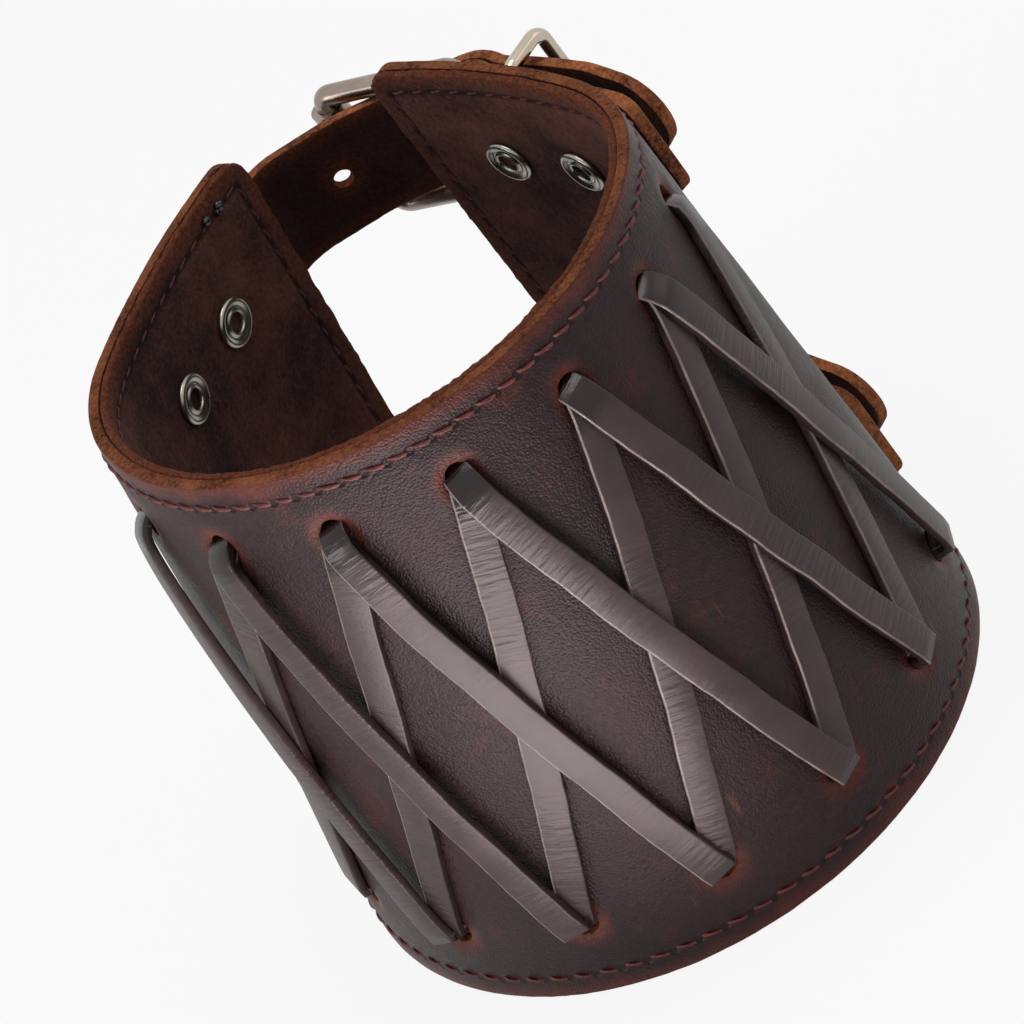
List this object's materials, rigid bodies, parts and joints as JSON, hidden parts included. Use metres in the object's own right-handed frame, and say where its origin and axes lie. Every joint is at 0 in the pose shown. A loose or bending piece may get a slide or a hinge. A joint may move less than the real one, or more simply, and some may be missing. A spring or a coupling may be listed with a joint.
{
  "type": "laced leather bracer",
  "caption": "Conical leather forearm cuff, laced across the front and closed behind by buckled straps with rollers, prongs and sliding keeper rings.",
  "frame": {"origin": "middle of the footprint, on the plane that the elbow rim stands on", "axes": "+Z from the wide elbow rim up to the narrow wrist rim, -Y out of the laced front, +Y out of the buckled back, +X to the side that holds the buckles"},
  "size_m": [0.1084, 0.1265, 0.1],
  "materials": {
    "grain_leather": "dark chocolate brown oiled grain, satin, raw tan cut edges",
    "suede": "very dark brown suede, matte",
    "thread": "waxed oxblood red thread",
    "lace_leather": "greyer brown flat lace, matte with fine creases",
    "strap_leather": "dark brown strap with orange-brown cut edges",
    "buckle_metal": "nickel plate, bright on the keeper and softly polished on the frame",
    "rivet_metal": "dull nickel"
  },
  "bodies": {
    "cuff": {"outer_panel": "grain_leather", "lining": "suede", "edge_thread": "thread", "lace_a": "lace_leather", "lace_b": "lace_leather", "wrist_billet": "strap_leather", "wrist_chape": "strap_leather", "wrist_billet_rivet_posts": "rivet_metal", "wrist_billet_rivet_caps": "rivet_metal", "wrist_chape_rivet_posts": "rivet_metal", "wrist_chape_rivet_caps": "rivet_metal", "elbow_billet": "strap_leather", "elbow_chape": "strap_leather", "elbow_billet_rivet_posts": "rivet_metal", "elbow_billet_rivet_caps": "rivet_metal", "elbow_chape_rivet_posts": "rivet_metal", "elbow_chape_rivet_caps": "rivet_metal"},
    "wrist_buckle_frame": {"wrist_buckle_frame": "buckle_metal"},
    "wrist_buckle_roller": {"wrist_buckle_roller": "buckle_metal"},
    "wrist_buckle_prong": {"wrist_buckle_prong": "buckle_metal"},
    "wrist_keeper_ring": {"wrist_keeper_ring": "buckle_metal"},
    "elbow_buckle_frame": {"elbow_buckle_frame": "buckle_metal"},
    "elbow_buckle_roller": {"elbow_buckle_roller": "buckle_metal"},
    "elbow_buckle_prong": {"elbow_buckle_prong": "buckle_metal"},
    "elbow_keeper_ring": {"elbow_keeper_ring": "buckle_metal"}
  },
  "joints": [
    {"name": "wrist_frame_swing", "type": "hinge", "parent": "cuff", "child": "wrist_buckle_frame", "pos_m": [0.02472, 0.03833, 0.082], "axis": [0.0675, 0.0619, -0.9958], "range_deg": [0, 8]},
    {"name": "wrist_prong_lift", "type": "hinge", "parent": "wrist_buckle_frame", "child": "wrist_buckle_prong", "pos_m": [0.02472, 0.03833, 0.082], "axis": [0.0675, 0.0619, -0.9958], "range_deg": [0, 6]},
    {"name": "wrist_roller_spin", "type": "hinge", "parent": "wrist_buckle_frame", "child": "wrist_buckle_roller", "pos_m": [0.00362, 0.05283, 0.082], "axis": [-0.0675, -0.0619, 0.9958], "continuous": true},
    {"name": "wrist_keeper_slide", "type": "slide", "parent": "cuff", "child": "wrist_keeper_ring", "axis": [0.5865, -0.8099, 0], "range_m": [0, 0.006]},
    {"name": "elbow_frame_swing", "type": "hinge", "parent": "cuff", "child": "elbow_buckle_frame", "pos_m": [0.02926, 0.0425, 0.015], "axis": [0.0675, 0.0619, -0.9958], "range_deg": [0, 8]},
    {"name": "elbow_prong_lift", "type": "hinge", "parent": "elbow_buckle_frame", "child": "elbow_buckle_prong", "pos_m": [0.02926, 0.0425, 0.015], "axis": [0.0675, 0.0619, -0.9958], "range_deg": [0, 6]},
    {"name": "elbow_roller_spin", "type": "hinge", "parent": "elbow_buckle_frame", "child": "elbow_buckle_roller", "pos_m": [0.00816, 0.05699, 0.015], "axis": [-0.0675, -0.0619, 0.9958], "continuous": true},
    {"name": "elbow_keeper_slide", "type": "slide", "parent": "cuff", "child": "elbow_keeper_ring", "axis": [0.5865, -0.8099, 0], "range_m": [0, 0.006]}
  ]
}
